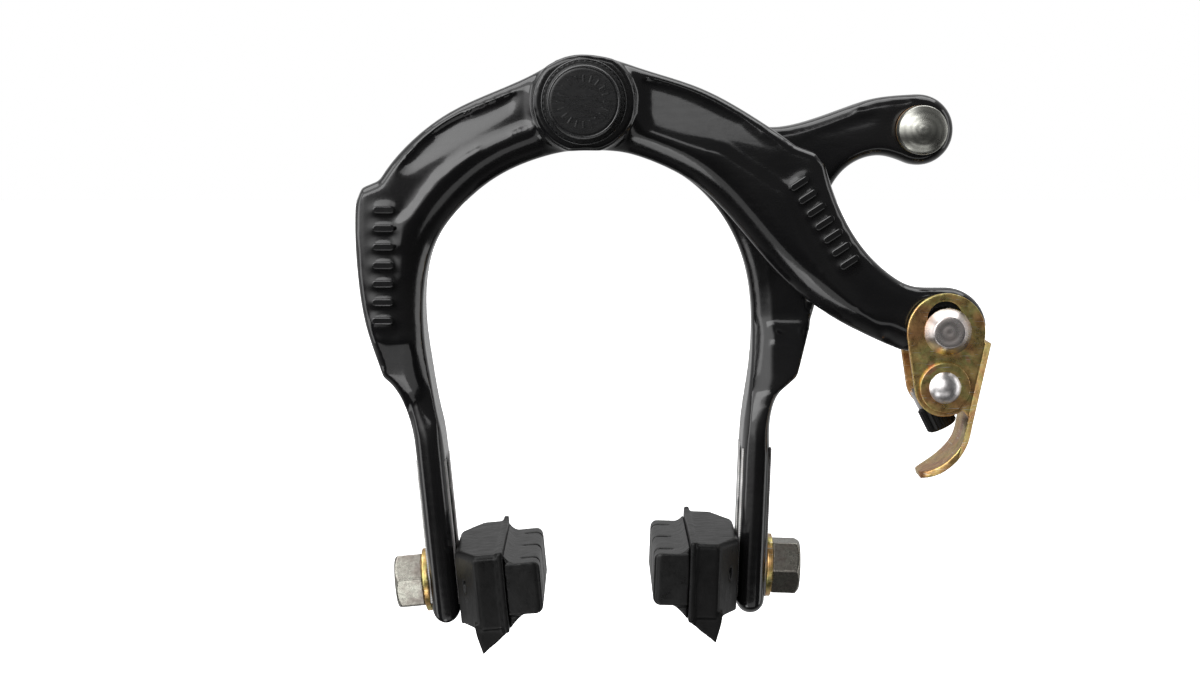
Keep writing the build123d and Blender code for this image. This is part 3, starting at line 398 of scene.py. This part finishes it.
def face_y(name, x, z):
    """Depth of the arm's flat front face, before any rounding."""
    front, (drop_top, drop_end), _, _ = ARMS[name]
    drop = np.clip((drop_top - z) / (drop_top - drop_end), 0.0, 1.0)
    if name == "front_arm":
        drop = np.where(x < FORK_X, drop, 0.0)
    return front + (LEG_FRONT_Y - front) * drop


def wall_trees(name):
    """Search trees of points along the arm's inner and outer side walls, seen from the front."""
    front, _, reach, bores = ARMS[name]
    mesh = frame["nodes"][name].data
    found = {True: set(), False: set()}
    for face in mesh.polygons:
        corners = [mesh.vertices[i].co / MM for i in face.vertices]
        depths = [c.y for c in corners]
        if abs(face.normal.y) > WALL_FACING or min(depths) < front + WALL_SET_BACK:
            continue
        if max(depths) > WALL_DEEPEST_Y or max(depths) - min(depths) < WALL_LEAST_DEPTH:
            continue
        middle = face.center / MM
        if middle.z < ROUND_FULL_Z or any(math.hypot(middle.x - x, middle.z - z) < r for x, z, r in bores):
            continue
        to_centre = (ARCH_CENTRE[0] - middle.x, ARCH_CENTRE[1] - middle.z)
        inward = face.normal.x * to_centre[0] + face.normal.z * to_centre[1] > 0
        inner = inward and math.hypot(*to_centre) < reach
        for i, a in enumerate(corners):
            b = corners[i - 1]
            if abs(a.y - b.y) > SAME_DEPTH:
                continue
            steps = max(1, int((b - a).length / SAMPLE_STEP))
            for k in range(steps + 1):
                spot = a.lerp(b, k / steps)
                found[inner].add((round(spot.x, 2), round(spot.z, 2)))
    trees = []
    for inner in (True, False):
        tree = KDTree(len(found[inner]))
        for i, (x, z) in enumerate(sorted(found[inner])):
            tree.insert((x, 0, z), i)
        tree.balance()
        trees.append(tree)
    return trees


def crease_tree(name):
    """Search tree of points along the borders of the arm's sloping recessed panels, seen from the front."""
    mesh = frame["nodes"][name].data
    sloping = {face.index for face in mesh.polygons if PANEL_FACING[0] < -face.normal.y < PANEL_FACING[1]}
    owners = {}
    for face in mesh.polygons:
        for key in face.edge_keys:
            owners.setdefault(key, []).append(face.index in sloping)
    found = set()
    for (a, b), kinds in owners.items():
        if len(set(kinds)) < 2:
            continue
        start, end = mesh.vertices[a].co / MM, mesh.vertices[b].co / MM
        steps = max(1, int((end - start).length / SAMPLE_STEP))
        for k in range(steps + 1):
            spot = start.lerp(end, k / steps)
            found.add((round(spot.x, 2), round(spot.z, 2)))
    tree = KDTree(len(found))
    for i, (x, z) in enumerate(sorted(found)):
        tree.insert((x, 0, z), i)
    tree.balance()
    return tree


def wall_distances(points, trees):
    """Distance of every point from the inner and outer walls, seen from the front."""
    result = []
    for tree in trees:
        result.append(np.array([tree.find((x, 0, z))[2] for x, _, z in points]))
    return result


def sculpt(name, points, distances):
    """Rounds an arm's front: wide inner bevel, crowned face, rounded rim and half-round leg."""
    x, y, z = points[:, 0], points[:, 1], points[:, 2]
    to_inner, to_outer = distances
    base = face_y(name, x, z)
    bevel = INNER_DEEP * np.clip(1 - to_inner / INNER_WIDE, 0, 1) ** 2
    crown = CROWN_DEEP * np.clip(1 - to_outer / CROWN_WIDE, 0, 1) ** 2
    edge = RIM_DEEP * np.clip(1 - to_outer / RIM_WIDE, 0, 1) ** 2 + CROWN_DEEP * RIM_ON_CROWN
    drop = np.where(to_outer < CROWN_WIDE, np.maximum(bevel + crown, edge), bevel)
    leg = smooth_step(-z, -ROUND_STARTS_Z, -ROUND_FULL_Z)
    drop *= 1 - leg
    if name == "front_arm":
        drop = np.where(np.hypot(x, z) < BOSS_R, 0.0, drop)
    raised = np.minimum(y - base, 0.0)
    y = np.maximum(y - raised, base + drop) + raised
    side, top_x, tilt, half = LEGS[name]
    middle = top_x - side * (LEG_TOP_Z - z) * math.tan(math.radians(tilt))
    across = np.clip((x - middle) * math.cos(math.radians(tilt)), -half, half)
    nose = LEG_FRONT_Y + half - np.sqrt(np.maximum(half * half - across * across, 0.0))
    points[:, 1] = y + (np.maximum(y, nose) - y) * leg
    return points


def relax(points, links, weight, passes):
    """Moves points towards the middle of their neighbours."""
    count = len(points)
    degree = np.bincount(links.reshape(-1), minlength=count)[:, None]
    for _ in range(passes):
        total = np.zeros_like(points)
        for axis in range(3):
            total[:, axis] = np.bincount(links[:, 0], points[links[:, 1], axis], count)
            total[:, axis] += np.bincount(links[:, 1], points[links[:, 0], axis], count)
        points += (total / degree - points) * weight[:, None] * RELAX_STEP
    return points


# smoothing passes: on the first grid, then on every edge, then on the broad front faces
GRID_PASSES = 2
EDGE_PASSES = 4
FACE_PASSES = 14
for name in ARMS:
    trees = wall_trees(name)
    rough = baked(frame["nodes"][name].data, ARM_VOXEL, GRID_PASSES)
    points = read_points(rough)
    write_points(rough, sculpt(name, points, wall_distances(points, trees)))
    shape = baked(rough, ARM_VOXEL, 0)
    points = read_points(shape)
    to_inner, to_outer = wall_distances(points, trees)
    normals = np.empty(len(shape.vertices) * 3)
    shape.vertices.foreach_get("normal", normals)
    facing = -normals.reshape(-1, 3)[:, 1]
    above = face_y(name, points[:, 0], points[:, 2]) - points[:, 1]
    soft = smooth_step(np.minimum(to_inner, to_outer), *WALL_FADE) * smooth_step(facing, *FACING_FADE)
    soft *= 1 - smooth_step(above, *RAISED_FADE)
    soft *= 1 - smooth_step(-points[:, 2], *LEG_FADE)
    to_crease, = wall_distances(points, [crease_tree(name)])
    soft *= smooth_step(to_crease, *CREASE_FADE)
    links = np.empty(len(shape.edges) * 2, dtype=np.int64)
    shape.edges.foreach_get("vertices", links)
    links = links.reshape(-1, 2)
    points = relax(points, links, np.ones(len(points)), EDGE_PASSES)
    points = relax(points, links, soft, FACE_PASSES)
    write_points(shape, points)
    shape.polygons.foreach_set("use_smooth", np.ones(len(shape.polygons), dtype=bool))
    arm = add_object(name + "_forged", shape, PAINT, name)
    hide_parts(name)

# grid size in mm, smoothing passes, and the parts softened with them
SOFTENED = (
    (0.27, 4, ("left_shoe_holder", "right_shoe_holder", "left_pad", "right_pad")),
    (0.17, 3, ("qr_lever",)),
    (0.12, 2, ("rivet_washer",)),
    (0.14, 1, ("qr_pin",)),
    (0.13, 2, ("bolt_cap",)),
    (0.16, 2, ("left_stud_nut", "right_stud_nut", "left_stud_washer", "right_stud_washer",
               "cable_anchor_bolt", "anchor_nut")),
)
for grid_size, passes, names in SOFTENED:
    for name in names:
        soften(name, grid_size * MM, passes)


# ---------------------------------------------------------------- serrated bare strips beside the stud slots
RIDGE_PITCH = 0.45
RIDGE_RISE = 0.12
VALLEY_RISE = 0.02
RIDGE_ROOT = 0.3
RIDGE_BEVEL = 0.1
STRIP_LOW_Z = {-1: -97.7, 1: -96.3}
STRIP_TOP_Z = {-1: -69.0, 1: -67.0}
STRIPS_Y = ((-25.2, -22.9), (-16.1, -12.6))


def serrations(side, top_x, tilt, half):
    """Fine ridges across a leg's flat faces, in front of and behind the slot."""
    mesh = bpy.data.meshes.new("serrations")
    build = bmesh.new()
    slope = math.tan(math.radians(tilt))
    rise = STRIP_TOP_Z[side] - STRIP_LOW_Z[side]
    steps = int(rise / RIDGE_PITCH) * 2
    for face in (-1, 1):
        for y_front, y_back in STRIPS_Y:
            previous = None
            for i in range(steps + 1):
                z = STRIP_LOW_Z[side] + i * RIDGE_PITCH / 2
                proud = half + (RIDGE_RISE if i % 2 else VALLEY_RISE)
                x = top_x - side * (LEG_TOP_Z - z) * slope + face * proud / math.cos(math.radians(tilt))
                root = x - face * RIDGE_ROOT
                row = [build.verts.new(Vector(p) * MM) for p in
                       ((root, y_front, z), (x, y_front + RIDGE_BEVEL, z), (x, y_back - RIDGE_BEVEL, z),
                        (root, y_back, z))]
                if previous:
                    for a, b in ((0, 1), (1, 2), (2, 3)):
                        build.faces.new((previous[a], previous[b], row[b], row[a]))
                previous = row
    bmesh.ops.recalc_face_normals(build, faces=build.faces)
    build.to_mesh(mesh)
    build.free()
    return mesh


for name, leg in LEGS.items():
    strips = add_object(name + "_serrations", serrations(*leg), BARE, name)

# ---------------------------------------------------------------- raised bars, cap rims and cap ticks
BAR_L = 4.2
BAR_W = 1.4
BARS = 7
# first bar, last bar and turn in degrees of each row
BAR_ROWS = (((-38.1, -20.4), (-38.5, -41.6), 0), ((41.0, -15.4), (50.6, -30.4), 33))
# depth and inset of each level of a bar, from its root to its top
BAR_LEVELS = ((-29.2, 0.0), (-30.30, 0.0), (-30.46, 0.07), (-30.52, 0.24))
ROUND_STEPS = 7


def stadium(x, z, turn, length, width, inset):
    """Outline of a bar with round ends, as points in X and Z."""
    radius = width / 2 - inset
    reach = length / 2 - width / 2
    along = Vector((math.cos(math.radians(turn)), math.sin(math.radians(turn))))
    across = Vector((-along.y, along.x))
    points = []
    for end in (1, -1):
        for k in range(ROUND_STEPS + 1):
            angle = math.pi * (k / ROUND_STEPS - 0.5)
            spot = along * (end * (reach + radius * math.cos(angle))) + across * (end * radius * math.sin(angle))
            points.append((x + spot.x, z + spot.y))
    return points


def stacked(build, outlines):
    """Closed side walls and a flat top through outlines given as lists of 3-D points."""
    rows = [[build.verts.new(Vector(p) * MM) for p in outline] for outline in outlines]
    for low, high in zip(rows, rows[1:]):
        for i in range(len(low)):
            build.faces.new((low[i - 1], low[i], high[i], high[i - 1]))
    build.faces.new(rows[-1])


def raised_bars(shapes, levels):
    """Mesh of bars; each shape is (x, z, turn, length, width)."""
    build = bmesh.new()
    for x, z, turn, length, width in shapes:
        stacked(build, [[(px, y, pz) for px, pz in stadium(x, z, turn, length, width, inset)]
                        for y, inset in levels])
    bmesh.ops.recalc_face_normals(build, faces=build.faces)
    mesh = bpy.data.meshes.new("bars")
    build.to_mesh(mesh)
    build.free()
    return mesh


bar_shapes = []
for first, last, turn in BAR_ROWS:
    for i in range(BARS):
        x, z = (a + (b - a) * i / (BARS - 1) for a, b in zip(first, last))
        bar_shapes.append((x, z, turn, BAR_L, BAR_W))
bars = add_object("front_arm_bars", raised_bars(bar_shapes, BAR_LEVELS), PAINT, "front_arm")

CAP_FACE_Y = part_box("bolt_cap")[0][1] / MM
CAP_BACK_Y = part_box("bolt_cap")[1][1] / MM
TICKS = 20
TICK_R = 4.3
TICK_L = 1.5
TICK_W = 0.42
# height above the cap's face and inset of each level of a tick, from its root to its top
TICK_LEVELS = ((-0.3, 0.0), (0.03, 0.0), (0.07, 0.08))
# radius, tube radius and depth of the rims round the cap's face and flange
CAP_RIMS = ((6.55, 0.20, CAP_FACE_Y + 0.18), (7.9, 0.16, CAP_BACK_Y - 1.25))
RIM_STEPS = 96
TUBE_STEPS = 10
tick_shapes = []
for i in range(TICKS):
    angle = 2 * math.pi * i / TICKS
    tick_shapes.append((TICK_R * math.cos(angle), TICK_R * math.sin(angle), math.degrees(angle), TICK_L, TICK_W))
tick_levels = [(CAP_FACE_Y - rise, inset) for rise, inset in TICK_LEVELS]
ticks = add_object("bolt_cap_ticks", raised_bars(tick_shapes, tick_levels), CAP, "mount")


def rim(radius, tube, y):
    """Thin torus round the pivot axis."""
    build = bmesh.new()
    rows = []
    for i in range(RIM_STEPS):
        turn = 2 * math.pi * i / RIM_STEPS
        row = []
        for k in range(TUBE_STEPS):
            around = 2 * math.pi * k / TUBE_STEPS
            out = radius + tube * math.cos(around)
            row.append(build.verts.new(Vector((out * math.cos(turn), y + tube * math.sin(around),
                                               out * math.sin(turn))) * MM))
        rows.append(row)
    for i in range(RIM_STEPS):
        for k in range(TUBE_STEPS):
            face = build.faces.new((rows[i - 1][k - 1], rows[i - 1][k], rows[i][k], rows[i][k - 1]))
            face.smooth = True
    bmesh.ops.recalc_face_normals(build, faces=build.faces)
    mesh = bpy.data.meshes.new("rim")
    build.to_mesh(mesh)
    build.free()
    return mesh


# the rims carry the glossier rim finish, whose lighter base colour is a painted highlight ring
for word, (radius, tube, y) in zip(("face", "flange"), CAP_RIMS):
    ring_edge = add_object("bolt_cap_" + word + "_rim", rim(radius, tube, y), CAP_RIM_GLOSS_AND_PAINTED_HIGHLIGHT, "mount")

# ---------------------------------------------------------------- return spring: cut in two at the middle, one half named for each arm
# side, and the points in metres between which the leg's bend goes from the block to the arm
SPRING_LEGS = {
    "front_arm": (-1, (-0.010, -0.006, -0.0064), (-0.0345, -0.006, -0.040)),
    "rear_arm": (1, (0.010, -0.006, -0.0064), (0.0360, -0.006, -0.040)),
}
for arm_name, (side, root, tip) in SPRING_LEGS.items():
    build = bmesh.new()
    build.from_mesh(frame["nodes"]["return_spring"].data)
    bmesh.ops.bisect_plane(build, geom=build.verts[:] + build.edges[:] + build.faces[:], plane_co=(0, 0, 0),
                           plane_no=(-side, 0, 0), clear_outer=True)
    mesh = bpy.data.meshes.new("spring_" + arm_name)
    build.to_mesh(mesh)
    build.free()
    half_spring = bpy.data.objects.new("spring_" + arm_name, mesh)
    scene.collection.objects.link(half_spring)
    mesh.materials.clear()
    mesh.materials.append(WIRE)
    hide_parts("return_spring")
    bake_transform(half_spring)

# ---------------------------------------------------------------- camera, lights, floor
CAMERA_AT = Vector((2.1, -460.0, -0.6)) * MM
TILT_DOWN = 5.849
YAW_RIGHT = 0.127
LENS = 67.8
camera_data = bpy.data.cameras.new("camera")
camera_data.lens = LENS
camera_data.sensor_width = 36.0
camera_data.clip_start = 0.01
camera = bpy.data.objects.new("camera", camera_data)
camera.location = CAMERA_AT
camera.rotation_euler = (math.radians(90 - TILT_DOWN), 0, math.radians(-YAW_RIGHT))
scene.collection.objects.link(camera)
scene.camera = camera


def softbox(name, at, aim, width, height, radiance):
    """Area light whose surface has a given radiance."""
    light = bpy.data.lights.new(name, "AREA")
    light.shape = "RECTANGLE"
    light.size = width
    light.size_y = height
    light.energy = radiance * math.pi * width * height
    obj = bpy.data.objects.new(name, light)
    obj.location = at
    obj.rotation_euler = (Vector(aim) - Vector(at)).to_track_quat("-Z", "Y").to_euler()
    scene.collection.objects.link(obj)


CENTRE = (0.01, -0.02, -0.045)
SHOES = (0.0, -0.03, -0.09)
RIGHT_LIMB = (0.058, -0.029, -0.043)
# name, place, aim, width, height, radiance
SOFTBOXES = (
    ("key_upper_left", (-0.30, -0.62, 0.28), CENTRE, 0.62, 0.34, 2.6),
    ("top", (0.0, 0.10, 0.62), CENTRE, 1.1, 0.5, 2.4),
    ("left_strip", (-0.62, -0.10, 0.00), CENTRE, 0.22, 0.8, 1.6),
    ("right_strip", (0.66, -0.10, 0.00), CENTRE, 0.20, 0.8, 1.6),
    ("front_right", (0.045, -0.70, 0.15), CENTRE, 0.17, 0.12, 1.7),
    ("under", (0.0, -0.20, -0.183), SHOES, 0.34, 0.08, 0.7),
    ("low_card", (-0.048, -0.135, -0.182), RIGHT_LIMB, 0.07, 0.06, 2.2),
)
for row in SOFTBOXES:
    softbox(*row)

# grey levels of the surroundings, and the directions between which one gives way to the next
FRONT_LOW = 0.03
FRONT_RIGHT = 0.10
FRONT_LEFT = 1.7
BACK = 0.45
BACK_FADE = (-0.35, 0.35)
UP_FADE = (-0.24, 0.05)
LEFT_FADE = (-0.04, -0.40)
world = bpy.data.worlds.new("studio")
world.use_nodes = True
sky = world.node_tree
backdrop = sky.nodes["Background"]
direction = node(sky, "ShaderNodeTexCoord")
parts = node(sky, "ShaderNodeSeparateXYZ")
sky.links.new(direction.outputs["Generated"], parts.inputs[0])


def fade(axis, ends):
    """Smooth change from 0 to 1 as the direction goes from one end to the other along an axis."""
    made = node(sky, "ShaderNodeMapRange", interpolation_type="SMOOTHSTEP")
    made.inputs["From Min"].default_value, made.inputs["From Max"].default_value = ends
    sky.links.new(parts.outputs[axis], made.inputs["Value"])
    return made.outputs["Result"]


sideways = mix(sky, fade("X", LEFT_FADE), FRONT_RIGHT, FRONT_LEFT)
front_tone = mix(sky, fade("Z", UP_FADE), FRONT_LOW, sideways)
around = mix(sky, fade("Y", BACK_FADE), front_tone, BACK)
rays = node(sky, "ShaderNodeLightPath")
seen = mix(sky, rays.outputs["Is Camera Ray"], around, 1.0)
sky.links.new(seen, backdrop.inputs["Color"])
backdrop.inputs["Strength"].default_value = 1.0
scene.world = world
scene.view_settings.view_transform = "Standard"

FLOOR_Z = -0.19
FLOOR_SIDE = 3.0
FLOOR_FRONT = -1.5
FLOOR_BACK = 4.0
floor_mesh = bpy.data.meshes.new("floor")
floor_corners = ((-FLOOR_SIDE, FLOOR_FRONT), (FLOOR_SIDE, FLOOR_FRONT), (FLOOR_SIDE, FLOOR_BACK),
                 (-FLOOR_SIDE, FLOOR_BACK))
floor_mesh.from_pydata([(x, y, FLOOR_Z) for x, y in floor_corners], [], [(0, 1, 2, 3)])
floor = bpy.data.objects.new("floor", floor_mesh)
scene.collection.objects.link(floor)
floor_mat, floor_tree, floor_shader = new_material("floor_paper")
paper = noise(floor_tree, coords(floor_tree), 8.0, 4.0)
floor_tree.links.new(ramp(floor_tree, paper, [(0.3, 0.80), (0.7, 0.84)]), floor_shader.inputs["Base Color"])
floor_shader.inputs["Roughness"].default_value = 0.9
floor_shader.inputs["Specular IOR Level"].default_value = 0.1
floor_shader.inputs["Emission Color"].default_value = (1, 1, 1, 1)
floor_shader.inputs["Emission Strength"].default_value = 1.2
floor_mesh.materials.append(floor_mat)
floor.visible_glossy = False
floor.visible_diffuse = False
